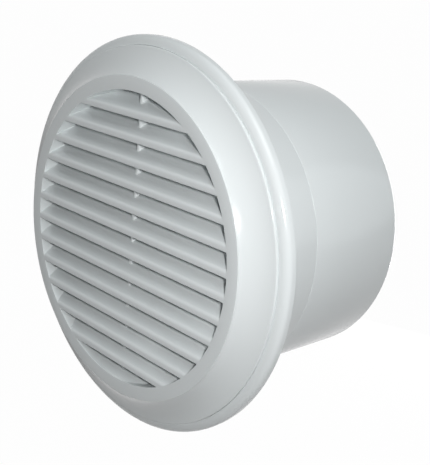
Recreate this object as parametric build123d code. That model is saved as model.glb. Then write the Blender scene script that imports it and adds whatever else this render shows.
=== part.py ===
from build123d import *

import os
from math import atan2, cos, hypot, pi, radians, sin, sqrt, tan

os.makedirs("parts", exist_ok=True)

# Millimetres. The origin is the centre of the duct where the flange's back meets the wall.
# The duct runs along +Y into the wall, the louvres face -Y into the room, and +Z is up.

# Duct and casing
duct_diameter = 125.0        # outside of the spigot that goes into the duct
casing_wall = 2.4            # wall of the sleeve and of the rear tube
face_projection = 13.0       # from the wall to the face of the louvres
tube_length = 85.1           # from the wall to the free end of the tube
joint_depth = 33.4           # from the wall to the seam between the two mouldings
tongue_length = 8.0          # tongues of the rear tube that reach into the sleeve
tongue_thickness = 1.4
tongue_width = 22.0
tongue_count = 4
tongue_start = 45.0          # angle of the first tongue
tongue_gap = 0.1

# Base flange
flange_diameter = 162.0
plate_thickness = 2.2        # flange plate against the wall
rim_round_width = 3.85       # radial width of the rounded rim
rim_round_depth = 2.8
rim_straight = 1.8           # height of the rim's outer wall above the wall
rim_bands = 3                # narrow cones that make up the rim's rounding
wall_hole_circle = 139.0
wall_hole_diameter = 4.5
wall_hole_count = 4
wall_hole_start = 45.0       # angle of the first hole

# Louvred cover: flat ring, fixed louvres and the dish that runs out to the rim
cover_gap = 0.25             # shadow gap between the cover's edge and the rim
cover_thickness = 1.8
cover_edge_depth = 7.4       # from the louvre face back to the cover's outer edge
cover_start_angle = 50.0     # steepness of the dish beside the flat ring
cover_bands = 3              # narrow cones that make up the dish
cover_lug_width = 9.0
cover_lug_height = 0.7
cover_lug_thickness = 1.3
lug_gap = 0.2
ring_diameter = 131.2
opening_diameter = 119.7
opening_wall = 1.6
opening_rear_gap = 0.3       # between the opening's wall and the flange plate
louvre_count = 12            # louvres with a visible front land
louvre_pitch = 9.35
louvre_lip = 2.65            # height of the front land up to its rounded nose
louvre_nose_radius = 1.5
louvre_slope = 27.5
louvre_rear_thickness = 1.6
louvre_middle = 1.69         # height of the middle of a louvre's front above its bottom edge
rib_thickness = 1.6
rib_setback = 4.8            # the upright rib starts this far behind the face

# Impeller
tip_gap = 1.5
blade_count = 7
blade_front = 4.5            # from the wall to a blade's leading corner at its tip
blade_depth = 17.0
blade_wrap = 40.0            # angle between a blade's edges
blade_thickness = 1.6
blade_camber = 3.5
hub_diameter = 62.0
hub_wall = 1.8
hub_front = 3.0              # from the wall to the nose of the hub
hub_bevel_width = 3.0        # bevel round the nose
hub_bevel_depth = 3.0
hub_rib_count = 4
hub_rib_start = 45.0         # angle of the first rib
hub_rib_thickness = 1.4
boss_diameter = 11.0
hub_rear_margin = 1.5        # the hub reaches this far behind the blades
hub_pod_gap = 2.0            # between the turning hub and the fixed pod

# Shaft and bearings
shaft_diameter = 5.0
running_gap = 0.03           # radial clearance of the shaft in its bushes
press_gap = 0.01             # radial clearance where one piece is pressed into another
bush_diameter = 9.0
bush_length = 8.0
bush_housing_width = 13.0
nut_width = 8.0
nut_height = 3.2

# Motor
stack_length = 18.0
stack_diameter = 60.8
core_back = 4.0              # width of the core behind a coil
window_gap = 0.4             # between a coil and the core
rotor_diameter = 28.0
rotor_ring_length = 3.0      # end rings of the rotor's cage reach this far past the stack
air_gap = 0.4
shoe_thickness = 2.0
shoe_width = 17.0
pole_width = 9.0
bobbin_wall = 0.8
bobbin_depth = 4.2           # radial length of a bobbin
bobbin_gap = 0.1
winding_build = 3.0          # thickness of the wire on a bobbin
shading_width = 1.2
shading_thickness = 1.4
shading_offset = 0.8         # from the middle of a pole to its shading ring
slot_gap = 0.05
bracket_thickness = 2.0
bracket_width = 12.0
bracket_post_width = 7.0
overhang_room = 6.0          # from the stack to each bracket's plate
motor_turn = 45.0            # the bolts and brackets stand this far round from the poles
bolt_circle = 51.2
bolt_diameter = 3.0
bolt_slot_width = 3.3
bolt_head_width = 5.5
bolt_head_height = 2.0

# Motor carrier: pod, arms, feet and terminal box in one moulding
pod_gap = 0.6                # between the stack and the pod
pod_wall = 2.0
pod_boss_height = 2.4
housing_gap = 0.5            # round the front bush housing where it passes through the pod's floor
arm_count = 3
arm_thickness = 3.0
arm_depth = 16.0
foot_rear = 63.0             # rear faces of the feet and arms
foot_thickness = 3.0
foot_width = 12.0
foot_wall_gap = 0.4          # between a foot and the bore of the tube
seat_length = 9.0            # radial length of the tube's seats under the feet
seat_depth = 8.0
seat_wall = 2.0
seat_gap = 0.2
hook_height = 1.0            # hook that holds a foot on its seat
hook_length = 2.4
hook_width = 5.0

# Rear cap of the pod
cap_thickness = 2.0
cap_gap = 0.15
cap_room = 0.4               # between the shaft's end and the cap
cap_hook_width = 6.0
cap_hook_height = 0.9
cap_hook_length = 5.0
ledge_width = 5.0

# Terminal box on the arm that points to -X
box_length = 17.0            # radial length from the pod's wall
box_width = 26.0
box_wall = 1.6
terminal_length = 10.0
terminal_width = 18.0
terminal_height = 8.0
terminal_pitch = 9.0
terminal_tube_width = 4.6
terminal_tube_wall = 0.7
terminal_screw_diameter = 2.6
box_head_room = 3.0          # from the terminal block to the box's cover
box_cover_thickness = 1.6
box_cover_lip = 2.0
box_cover_gap = 0.1
lead_diameter = 1.6
cable_slot_width = 7.2

# Cable entry through the tube's wall
entry_margin = 9.1           # from the axis of the entry to the tube's free end
entry_angle = 210.0
entry_hole_diameter = 10.0
grommet_bore = 6.8
grommet_reach = 2.4          # how far the grommet stands into the tube
grommet_inset = 0.2          # its outer end lies this far inside the tube's surface

# Worked out from the values above
duct_r = duct_diameter / 2
bore_r = duct_r - casing_wall
face_y = -face_projection
flange_r = flange_diameter / 2
rim_inner_r = flange_r - rim_round_width
cover_r = rim_inner_r - cover_gap
ring_r = ring_diameter / 2
opening_r = opening_diameter / 2
opening_wall_r = opening_r + opening_wall
louvre_rear = -plate_thickness - opening_rear_gap
louvre_depth = louvre_rear - face_y
hub_r = hub_diameter / 2
tip_r = bore_r - tip_gap
hub_rear = blade_front + blade_depth + hub_rear_margin
shaft_r = shaft_diameter / 2
stack_r = stack_diameter / 2
rotor_r = rotor_diameter / 2
stator_bore_r = rotor_r + air_gap
shoe_r = stator_bore_r + shoe_thickness
pod_inner_r = stack_r + pod_gap
pod_r = pod_inner_r + pod_wall
pod_front = hub_rear + hub_pod_gap
pod_floor = pod_front + pod_wall
front_plate = pod_floor + pod_boss_height
front_bush_front = front_plate + bracket_thickness - bush_length
stack_front = front_plate + bracket_thickness + overhang_room
stack_rear = stack_front + stack_length
rear_plate = stack_rear + overhang_room
rear_bush_rear = rear_plate + bush_length
pod_rear = rear_bush_rear + cap_room + cap_thickness
bush_r = bush_diameter / 2
bolt_r = bolt_circle / 2
nose_floor = hub_front + nut_height + 0.4
shading_r = shoe_r + 0.2
bobbin_r = shading_r + shading_thickness + 0.4
bobbin_end_r = bobbin_r + bobbin_depth
bobbin_side = pole_width / 2 + bobbin_gap + bobbin_wall + winding_build
window_half = bobbin_end_r + window_gap
window_corner = (bobbin_end_r + bobbin_side) / sqrt(2) + window_gap
stack_half = window_half + core_back
foot_outer_r = bore_r - foot_wall_gap
foot_inner_r = bore_r - seat_length
arm_front = foot_rear - arm_depth
box_outer_r = pod_r + box_length
terminal_y = rear_plate - 2.0
terminal_front = terminal_y - terminal_height / 2
terminal_rear = terminal_y + terminal_height / 2
terminal_inner_r = pod_r + 3.0
terminal_outer_r = terminal_inner_r + terminal_length
terminal_r = (terminal_inner_r + terminal_outer_r) / 2
box_front = terminal_front - box_wall
box_rear = terminal_rear + box_head_room
entry_depth = tube_length - entry_margin


def turned(*points):
    """A solid turned about the duct's axis from a closed outline of (radius, y) points."""
    return revolve(make_face(Polyline(*points, close=True)), Axis.Y)


def tube(inner, outer, front, rear):
    return turned((inner, front), (outer, front), (outer, rear), (inner, rear))


def rod(radius, front, rear, x=0.0, z=0.0):
    return Pos(x, (front + rear) / 2, z) * Rot(90, 0, 0) * Cylinder(radius, rear - front)


def entry_rod(radius, start, end):
    """A rod on the axis of the cable entry, from one distance from the duct's axis to another."""
    rod_along_x = Pos((start + end) / 2, entry_depth, 0) * Rot(0, 90, 0) * Cylinder(radius, end - start)
    return Rot(0, -entry_angle, 0) * rod_along_x


def octagon(plane, diameter, length):
    """A small rod with eight flat sides, for hidden wires, grub screws and nut threads."""
    return extrude(plane * RegularPolygon(diameter / 2, 8, major_radius=False), length)


def block(x, y, z):
    """A box from three (low, high) pairs."""
    size = [high - low for low, high in (x, y, z)]
    centre = [(high + low) / 2 for low, high in (x, y, z)]
    return Pos(*centre) * Box(*size)


def evenly(width):
    return (-width / 2, width / 2)


def ring_of(shape, count, start=0.0):
    """Copies of the shape round the duct's axis; angles run from +X towards +Z."""
    return [Rot(0, -start - step * 360 / count, 0) * shape for step in range(count)]


def joined(first, others):
    for other in others:
        first = first + other
    return first


def cut(first, others):
    for other in others:
        first = first - other
    return first


def group(shapes):
    """Separate solids that share one node."""
    return Compound(children=[solid for shape in shapes for solid in shape.solids()])


def dish_point(share):
    """A point on the arc of the dish, from the flat ring at 0 out to the rim at 1."""
    start_y, end_y = face_y, face_y + cover_edge_depth
    chord = hypot(cover_r - ring_r, end_y - start_y)
    chord_angle = atan2(end_y - start_y, cover_r - ring_r)
    start_slope = radians(cover_start_angle)
    turn = 2 * (start_slope - chord_angle)
    radius = chord / 2 / sin(turn / 2)
    slope = start_slope - turn * share
    return (
        ring_r + radius * (sin(start_slope) - sin(slope)),
        start_y - radius * (cos(start_slope) - cos(slope)),
    )


def louvre():
    """One louvre across the whole opening, its front bottom edge on the X axis."""
    rise = tan(radians(louvre_slope))
    top_rear = louvre_lip + rise * louvre_depth
    bottom_rear = top_rear - louvre_rear_thickness / cos(radians(louvre_slope))
    outline = Polyline(
        (0, 0), (0, louvre_lip), (louvre_depth, top_rear), (louvre_depth, bottom_rear), close=True
    )
    section = make_face(outline)
    nose = section.vertices().sort_by_distance((0, louvre_lip, 0))[0]
    return extrude(Plane.YZ * fillet(nose, louvre_nose_radius), opening_r, both=True)


def cover_shell():
    rest = -plate_thickness
    return turned(
        (opening_r, face_y),
        *[dish_point(step / cover_bands) for step in range(cover_bands + 1)],
        (cover_r, rest),
        (cover_r - cover_thickness, rest),
        (opening_wall_r, face_y + cover_thickness),
        (opening_wall_r, louvre_rear),
        (opening_r, louvre_rear),
    )


def louvred_cover():
    """The front moulding: flat ring, louvres on an upright rib, dish, and lugs that clip in."""
    reach = rod(opening_r + opening_wall / 2, face_y, louvre_rear)
    blank = louvre()
    bars = []
    for place in range(louvre_count + 1):
        height = ((louvre_count - 1) / 2 - place) * louvre_pitch - louvre_middle
        bars.append((Pos(0, face_y, height) * blank) & reach)
    rib = block(
        evenly(rib_thickness), (face_y + rib_setback, louvre_rear), evenly(2 * opening_r + opening_wall)
    )
    lug_rear = -plate_thickness - lug_gap
    lug = block(
        (cover_r - cover_thickness / 2, cover_r + cover_lug_height),
        (lug_rear - cover_lug_thickness, lug_rear),
        evenly(cover_lug_width),
    )
    return joined(cover_shell(), bars + [rib] + ring_of(lug, 4))


def base_flange():
    """The wall plate with its rounded rim, and the sleeve up to the seam."""
    rim = []
    for step in range(rim_bands + 1):
        angle = pi / 2 * step / rim_bands
        rim.append(
            (rim_inner_r + rim_round_width * sin(angle), -rim_straight - rim_round_depth * cos(angle))
        )
    base = turned(
        (bore_r, -plate_thickness),
        (rim_inner_r, -plate_thickness),
        *rim,
        (flange_r, 0),
        (duct_r, 0),
        (duct_r, joint_depth),
        (bore_r, joint_depth),
    )
    pocket = block(
        (rim_inner_r - 1, cover_r + cover_lug_height + lug_gap),
        (-plate_thickness - 2 * lug_gap - cover_lug_thickness, -plate_thickness),
        evenly(cover_lug_width + 2 * lug_gap),
    )
    hole = rod(wall_hole_diameter / 2, -plate_thickness - 1, 1, x=wall_hole_circle / 2)
    return cut(base, ring_of(pocket, 4) + ring_of(hole, wall_hole_count, wall_hole_start))


def tongue():
    """A tongue of the rear tube that centres it in the sleeve."""
    sector = block((0, duct_r), (0, tube_length), evenly(tongue_width))
    inner_r = bore_r - tongue_thickness
    free_part = tube(inner_r, bore_r - tongue_gap, joint_depth - tongue_length, joint_depth + 3)
    root = tube(inner_r, bore_r + casing_wall / 2, joint_depth, joint_depth + 3)
    return (free_part + root) & sector


def foot_seat():
    """A seat inside the tube at +X: a shelf with two side walls and a hook."""
    side = foot_width / 2 + seat_gap
    front = foot_rear - foot_thickness - seat_depth
    seat = block(
        (foot_inner_r, bore_r + casing_wall / 2),
        (front, foot_rear + hook_height + 1.4),
        evenly(2 * (side + seat_wall)),
    )
    room = block(
        (foot_inner_r - 1, bore_r), (foot_rear - foot_thickness, foot_rear + 9), evenly(2 * side)
    )
    hollow = block(
        (foot_inner_r - 1, bore_r),
        (front - 1, foot_rear - foot_thickness - seat_wall),
        evenly(2 * side),
    )
    hook = block(
        (bore_r - hook_length, bore_r + casing_wall / 2),
        (foot_rear + seat_gap / 2, foot_rear + seat_gap / 2 + hook_height),
        evenly(hook_width),
    )
    return seat - room - hollow + hook


def duct_tube():
    """The rear tube, with tongues that reach into the sleeve and seats for the carrier's feet."""
    body = tube(bore_r, duct_r, joint_depth, tube_length)
    inner_parts = ring_of(tongue(), tongue_count, tongue_start) + ring_of(foot_seat(), arm_count, 180)
    return joined(body, inner_parts) - entry_rod(entry_hole_diameter / 2, bore_r - 1, duct_r + 1)


def carrier_foot(inner_r):
    return block((inner_r, foot_outer_r), (foot_rear - foot_thickness, foot_rear), evenly(foot_width))


def carrier_arm():
    blade = block(
        (pod_r - pod_wall / 2, foot_inner_r - seat_gap), (arm_front, foot_rear), evenly(arm_thickness)
    )
    return blade + carrier_foot(foot_inner_r - 2)


def terminal_box():
    """The open box on the arm at -X, with the foot that carries it."""
    box = block((-box_outer_r, -pod_r + pod_wall / 2), (box_front, box_rear), evenly(box_width))
    inside = block(
        (-box_outer_r + box_wall, -pod_r - 0.4),
        (terminal_front, box_rear + 1),
        evenly(box_width - 2 * box_wall),
    )
    slot = block(
        (-box_outer_r - 1, -box_outer_r + box_wall + 1),
        (foot_rear + 0.2, box_rear + 1),
        evenly(cable_slot_width),
    )
    return box - inside - slot


def motor_carrier():
    """The round pod that holds the motor, two plain arms, and the terminal box as third arm."""
    pod = turned(
        (0, pod_front),
        (pod_r, pod_front),
        (pod_r, pod_rear),
        (pod_inner_r, pod_rear),
        (pod_inner_r, pod_floor),
        (0, pod_floor),
    )
    boss = block(
        (bolt_r - bracket_post_width / 2, bolt_r + bracket_post_width / 2),
        (pod_floor - 0.5, front_plate),
        evenly(bracket_post_width),
    )
    ledge = block(
        (pod_inner_r - 1.2, pod_inner_r + pod_wall / 2),
        (pod_rear - cap_thickness - 3, pod_rear - cap_thickness),
        evenly(ledge_width),
    )
    foot = Rot(0, 180, 0) * carrier_foot(box_outer_r - box_wall / 2)
    parts = ring_of(boss, 2, motor_turn) + ring_of(ledge, 2) + ring_of(carrier_arm(), arm_count, 180)[1:]
    body = joined(pod, parts + [terminal_box(), foot])
    past = (pod_front - 1, front_plate + 1)
    bolt_hole = block(
        (bolt_r - bolt_slot_width / 2, bolt_r + bolt_slot_width / 2), past, evenly(bolt_slot_width)
    )
    side = evenly(bush_housing_width + 2 * housing_gap)
    housing_hole = Rot(0, -motor_turn, 0) * block(side, past, side)
    window = block(
        (pod_inner_r - 1, pod_r + 1),
        (pod_rear - cap_thickness - cap_hook_length + 1, pod_rear - cap_thickness),
        evenly(cap_hook_width + 0.6),
    )
    lead_hole = block(
        (-pod_r - 1, -pod_inner_r + 1), (terminal_y - 2, terminal_y + 2), evenly(terminal_pitch + 4)
    )
    bolt_holes = ring_of(bolt_hole, 2, motor_turn)
    return cut(body, bolt_holes + ring_of(window, 2, 90) + [housing_hole, lead_hole])


def motor_cap():
    """The rear cap: a disc inside the pod's end, on its ledges, with two hooks."""
    cap_front = pod_rear - cap_thickness
    disc = rod(pod_inner_r - cap_gap, cap_front, pod_rear)
    leg = block(
        (pod_inner_r - 2, pod_inner_r - 0.6),
        (cap_front - cap_hook_length + 1.4, pod_rear - 0.5),
        evenly(cap_hook_width),
    )
    hook = block(
        (pod_inner_r - 1, pod_inner_r + cap_hook_height),
        (cap_front - 2.2, cap_front - 0.2),
        evenly(cap_hook_width),
    )
    return joined(disc, ring_of(leg + hook, 2, 90))


def stator_core():
    """The laminated stack: flats on four sides, four poles with shoes, and notches for the bolts."""
    full = (stack_front, stack_rear)
    past = (stack_front - 1, stack_rear + 1)
    outside = rod(stack_r, *full) & block(evenly(2 * stack_half), full, evenly(2 * stack_half))
    window = block(evenly(2 * window_half), past, evenly(2 * window_half))
    window = window & (Rot(0, 45, 0) * block(evenly(2 * window_corner), past, evenly(2 * window_corner)))
    pole = block((0, window_half + 1), full, evenly(pole_width))
    pole = pole + block((0, shoe_r), full, evenly(shoe_width))
    shading_slot = block(
        (0, shading_r + shading_thickness + slot_gap), past,
        (shading_offset - slot_gap, shading_offset + shading_width + slot_gap),
    )
    notch = block((bolt_r - bolt_slot_width / 2, stack_r + 1), past, evenly(bolt_slot_width))
    body = joined(outside - window, ring_of(pole, 4))
    notches = ring_of(notch, 2, motor_turn)
    return cut(body, [rod(stator_bore_r, *past)] + ring_of(shading_slot, 4) + notches)


def shading_rings():
    """A closed copper ring round part of each pole."""
    side = pole_width / 2 + slot_gap
    radial = (shading_r, shading_r + shading_thickness)
    past = (shading_r - 1, shading_r + shading_thickness + 1)
    front, rear = stack_front - slot_gap, stack_rear + slot_gap
    outer = block(
        radial, (front - shading_width, rear + shading_width), (shading_offset, side + shading_width)
    )
    inner = block(past, (front, rear), (shading_offset + shading_width, side))
    return group(ring_of(outer - inner, 4))


def round_pole(start, end, margin):
    """A block round a pole, between two radii, that stands out from the pole by a margin."""
    return block((start, end), (stack_front - margin, stack_rear + margin), evenly(pole_width + 2 * margin))


def coil_bobbins():
    inner, outer = bobbin_gap + bobbin_wall, bobbin_gap + bobbin_wall + winding_build
    spool = round_pole(bobbin_r, bobbin_end_r, inner)
    inner_flange = round_pole(bobbin_r, bobbin_r + bobbin_wall, outer)
    outer_flange = round_pole(bobbin_end_r - bobbin_wall, bobbin_end_r, outer)
    hole = round_pole(bobbin_r - 1, bobbin_end_r + 1, bobbin_gap)
    return group(ring_of(spool + inner_flange + outer_flange - hole, 4))


def coil_windings():
    start_r, end_r = bobbin_r + bobbin_wall + 0.05, bobbin_end_r - bobbin_wall - 0.05
    inner = bobbin_gap + bobbin_wall + 0.05
    outer = bobbin_gap + bobbin_wall + winding_build - 0.3
    wire = round_pole(start_r, end_r, outer)
    wire = chamfer(wire.edges().filter_by(Axis.X), winding_build / 2)
    return group(ring_of(wire - round_pole(start_r - 1, end_r + 1, inner), 4))


def bracket(plate, stack_face, housing_front):
    """A die-cast bar with a housing for the bush and a post to the stack at each end."""
    end_r = bolt_r + bracket_post_width / 2
    past = (
        min(housing_front, plate - overhang_room) - 1,
        max(housing_front + bush_length, plate + bracket_thickness + overhang_room) + 1,
    )
    bar = block(evenly(2 * end_r), (plate, plate + bracket_thickness), evenly(bracket_width))
    housing = block(
        evenly(bush_housing_width),
        (housing_front, housing_front + bush_length),
        evenly(bush_housing_width),
    )
    post = block(
        (end_r - bracket_post_width, end_r),
        (min(plate + 1, stack_face), max(plate + 1, stack_face)),
        evenly(bracket_post_width),
    )
    seat = rod(bush_r + press_gap, *past)
    notch = block((bolt_r - bolt_slot_width / 2, end_r + 1), past, evenly(bolt_slot_width))
    body = joined(bar, [housing] + ring_of(post, 2))
    body = cut(body, [seat] + ring_of(notch, 2))
    return Rot(0, -motor_turn, 0) * (body & rod(stack_r, *past))


def front_bracket():
    return bracket(front_plate, stack_front, front_bush_front)


def rear_bracket():
    return bracket(rear_plate, stack_rear, rear_plate)


def hexagon(width, height):
    """A hexagonal head or nut that stands on y = 0 and reaches towards -Y."""
    return extrude(Plane.XZ * RegularPolygon(width / 2, 6, major_radius=False), height)


def nut_hole(diameter, height):
    return Pos(0, 1, 0) * octagon(Plane.XZ, diameter + 2 * press_gap, height + 2)


def tie_bolts():
    """Two long bolts from the pod's floor to the nuts behind the rear bracket."""
    bolt_end = rear_plate + bracket_thickness + bolt_head_height
    bolt = Pos(0, pod_front, 0) * hexagon(bolt_head_width, bolt_head_height)
    bolt = bolt + rod(bolt_diameter / 2, pod_front - 0.1, bolt_end)
    return group(ring_of(Pos(bolt_r, 0, 0) * bolt, 2, motor_turn))


def tie_nuts():
    nut = hexagon(bolt_head_width, bolt_head_height) - nut_hole(bolt_diameter, bolt_head_height)
    place = Pos(bolt_r, rear_plate + bracket_thickness + bolt_head_height, 0)
    return group(ring_of(place * nut, 2, motor_turn))


def bush(front):
    return tube(shaft_r + running_gap, bush_r, front, front + bush_length)


def shaft():
    return rod(shaft_r, nose_floor - nut_height - 0.2, rear_bush_rear)


def rotor():
    """The laminated rotor, one turned piece with the end rings of its cast cage."""
    return tube(shaft_r + press_gap, rotor_r, stack_front - rotor_ring_length, stack_rear + rotor_ring_length)


def impeller_blade():
    """A cambered blade at +X: a bowed strip cut to its tapered outline and to the swept circle."""
    half = tip_r * sin(radians(blade_wrap / 2))
    rear = blade_front + blade_depth
    bow = (blade_front + rear) / 2 - blade_camber
    front_side = ThreePointArc(
        (half, blade_front), (0, bow - blade_thickness), (-half, rear - blade_thickness)
    )
    rear_side = ThreePointArc((-half, rear), (0, bow), (half, blade_front + blade_thickness))
    edges = [front_side, Line(front_side @ 1, rear_side @ 0), rear_side, Line(rear_side @ 1, front_side @ 0)]
    reach = tip_r + 5
    across = Plane(origin=(reach, 0, 0), x_dir=(0, 0, 1), z_dir=(-1, 0, 0))
    strip = extrude(across * make_face(Curve() + edges), reach)
    spread = reach * tan(radians(blade_wrap / 2))
    fan = Polyline((0, -hub_wall), (0, hub_wall), (reach, spread), (reach, -spread), close=True)
    outline = extrude(Plane.XZ * make_face(fan), -hub_rear - 5)
    return strip & outline & tube(hub_r - hub_wall / 2, tip_r, hub_front, hub_rear)


def impeller():
    nose_r = hub_r - hub_bevel_width
    recess_r = nut_width * 0.75
    boss_r = boss_diameter / 2
    boss_rear = front_bush_front - 1.2
    bore = shaft_r + press_gap
    hub = turned(
        (recess_r, hub_front),
        (nose_r, hub_front),
        (hub_r, hub_front + hub_bevel_depth),
        (hub_r, hub_rear),
        (hub_r - hub_wall, hub_rear),
        (hub_r - hub_wall, nose_floor + hub_wall),
        (boss_r, nose_floor + hub_wall),
        (boss_r, boss_rear),
        (bore, boss_rear),
        (bore, nose_floor),
        (recess_r, nose_floor),
    )
    rib = block(
        (boss_r - 0.5, hub_r - hub_wall / 2),
        (nose_floor + hub_wall - 0.5, boss_rear - 2),
        evenly(hub_rib_thickness),
    )
    return joined(hub, ring_of(rib, hub_rib_count, hub_rib_start) + ring_of(impeller_blade(), blade_count))


def impeller_nut():
    nut = hexagon(nut_width, nut_height) - nut_hole(shaft_diameter, nut_height)
    return Pos(0, nose_floor, 0) * nut


def terminal_sides():
    return (-terminal_pitch / 2, terminal_pitch / 2)


def terminal_screw(z, front, diameter):
    plane = Plane(origin=(-terminal_r, front, z), x_dir=(1, 0, 0), z_dir=(0, 1, 0))
    return octagon(plane, diameter, terminal_rear - front)


def terminal_block():
    body = block(
        (-terminal_outer_r, -terminal_inner_r), (terminal_front, terminal_rear), evenly(terminal_width)
    )
    half = terminal_tube_width / 2 + press_gap
    along = (-terminal_outer_r - 1, -terminal_inner_r + 1)
    for z in terminal_sides():
        side = (z - half, z + half)
        body = body - block(along, (terminal_y - half, terminal_y + half), side)
        body = body - block((-terminal_r - half, -terminal_r + half), (terminal_y, terminal_rear + 1), side)
    return body


def terminal_tubes():
    """Square brass tubes that take a wire from each end."""
    tubes = []
    for z in terminal_sides():
        outer = square_bar(terminal_inner_r + 0.5, terminal_outer_r - 0.5, terminal_tube_width, z)
        bore = terminal_tube_width - 2 * terminal_tube_wall
        inner = square_bar(terminal_inner_r, terminal_outer_r, bore, z)
        thread = terminal_screw(z, terminal_y, terminal_screw_diameter + 2 * press_gap)
        tubes.append(outer - inner - thread)
    return group(tubes)


def square_bar(start, end, width, z):
    half = width / 2
    return block((-end, -start), (terminal_y - half, terminal_y + half), (z - half, z + half))


def terminal_screws():
    """Grub screws that press a wire into each tube."""
    return group([terminal_screw(z, terminal_y + 1.2, terminal_screw_diameter) for z in terminal_sides()])


def motor_leads():
    """Two leads, held along their whole way, from the coil at -X to the terminal tubes."""
    start_r, end_r = bobbin_end_r + 0.05, terminal_inner_r + 2.5
    leads = []
    for z in terminal_sides():
        plane = Plane(origin=(-start_r, terminal_y, z), x_dir=(0, 1, 0), z_dir=(-1, 0, 0))
        leads.append(octagon(plane, lead_diameter, end_r - start_r))
    return group(leads)


def box_cover():
    """The lid of the terminal box, with a lip that grips inside its outer end."""
    plate = block(
        (-box_outer_r, -pod_r - 0.4), (box_rear, box_rear + box_cover_thickness), evenly(box_width)
    )
    lip_r = box_outer_r - box_wall - box_cover_gap
    half = box_width / 2 - box_wall - box_cover_gap
    lip = block((-lip_r, -lip_r + box_wall), (box_rear - box_cover_lip, box_rear + 0.5), evenly(2 * half))
    side_lip = block(
        (-lip_r, -pod_r - 2), (box_rear - box_cover_lip, box_rear + 0.5), (half - box_wall, half)
    )
    slot = block(
        (-lip_r - 1, -lip_r + box_wall + 1),
        (box_rear - box_cover_lip - 1, box_rear),
        evenly(cable_slot_width),
    )
    return joined(plate, [lip - slot, side_lip, mirror(side_lip, Plane.XY)])


def cable_grommet():
    """A rubber sleeve in the tube's entry hole."""
    start, end = bore_r - grommet_reach, duct_r - grommet_inset
    sleeve = entry_rod(entry_hole_diameter / 2 - press_gap, start, end)
    return sleeve - entry_rod(grommet_bore / 2, start - 1, end + 1)


nodes = {
    "louvred_cover": louvred_cover,
    "base_flange": base_flange,
    "duct_tube": duct_tube,
    "motor_carrier": motor_carrier,
    "motor_cap": motor_cap,
    "stator_core": stator_core,
    "shading_rings": shading_rings,
    "coil_bobbins": coil_bobbins,
    "coil_windings": coil_windings,
    "front_bracket": front_bracket,
    "rear_bracket": rear_bracket,
    "tie_bolts": tie_bolts,
    "tie_nuts": tie_nuts,
    "front_bush": lambda: bush(front_bush_front),
    "rear_bush": lambda: bush(rear_plate),
    "shaft": shaft,
    "rotor": rotor,
    "impeller": impeller,
    "impeller_nut": impeller_nut,
    "terminal_block": terminal_block,
    "terminal_tubes": terminal_tubes,
    "terminal_screws": terminal_screws,
    "motor_leads": motor_leads,
    "box_cover": box_cover,
    "cable_grommet": cable_grommet,
}
for name, make in nodes.items():
    export_step(make(), f"parts/{name}.step")
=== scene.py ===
import math

import bmesh
import bpy
from mathutils import Matrix, Vector


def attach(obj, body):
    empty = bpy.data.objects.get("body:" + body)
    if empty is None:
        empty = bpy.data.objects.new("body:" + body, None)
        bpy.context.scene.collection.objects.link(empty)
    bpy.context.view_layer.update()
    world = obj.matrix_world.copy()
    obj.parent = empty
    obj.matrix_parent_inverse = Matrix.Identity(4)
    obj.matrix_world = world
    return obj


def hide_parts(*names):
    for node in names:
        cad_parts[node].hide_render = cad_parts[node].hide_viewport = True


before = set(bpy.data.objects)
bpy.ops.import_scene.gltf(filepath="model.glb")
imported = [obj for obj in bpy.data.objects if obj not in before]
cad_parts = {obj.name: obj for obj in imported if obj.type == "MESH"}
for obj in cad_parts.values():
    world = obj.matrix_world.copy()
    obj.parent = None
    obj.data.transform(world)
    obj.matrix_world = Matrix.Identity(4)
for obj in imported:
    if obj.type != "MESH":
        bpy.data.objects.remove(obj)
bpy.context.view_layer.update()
mm = 0.001

# Camera

view = {
    "place": (0.259684, -0.219993, 0.104685),
    "azimuth": 45.086,
    "elevation": 16.467,
    "roll": 5.599,
    "lens": 66.89,
    "nearest": 0.01,
}


def addCamera():
    azimuth, elevation, roll = (
        math.radians(view[key]) for key in ("azimuth", "elevation", "roll")
    )
    back = Vector((
        math.sin(azimuth) * math.cos(elevation),
        -math.cos(azimuth) * math.cos(elevation),
        math.sin(elevation),
    ))
    level = Vector((math.cos(azimuth), math.sin(azimuth), 0))
    upright = back.cross(level)
    right = math.cos(roll) * level + math.sin(roll) * upright
    up = math.cos(roll) * upright - math.sin(roll) * level
    turn = Matrix((right, up, back)).transposed()
    bpy.ops.object.camera_add(location=view["place"], rotation=turn.to_euler())
    camera = bpy.context.object
    camera.data.lens = view["lens"]
    camera.data.clip_start = view["nearest"]
    bpy.context.scene.camera = camera


addCamera()
print("camera placed")

# Shader nodes


class Signal:
    def __init__(self, nodes, socket):
        self.nodes = nodes
        self.socket = socket

    def other(self, output):  # another output of the same node
        return Signal(self.nodes, self.socket.node.outputs[output])

    def maths(self, operation, first, second):
        return self.nodes.add("ShaderNodeMath", {"operation": operation}, {0: first, 1: second})

    def __add__(self, other):
        return self.maths("ADD", self, other)

    def __radd__(self, other):
        return self.maths("ADD", other, self)

    def __sub__(self, other):
        return self.maths("SUBTRACT", self, other)

    def __rsub__(self, other):
        return self.maths("SUBTRACT", other, self)

    def __mul__(self, other):
        return self.maths("MULTIPLY", self, other)

    def __rmul__(self, other):
        return self.maths("MULTIPLY", other, self)


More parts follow.
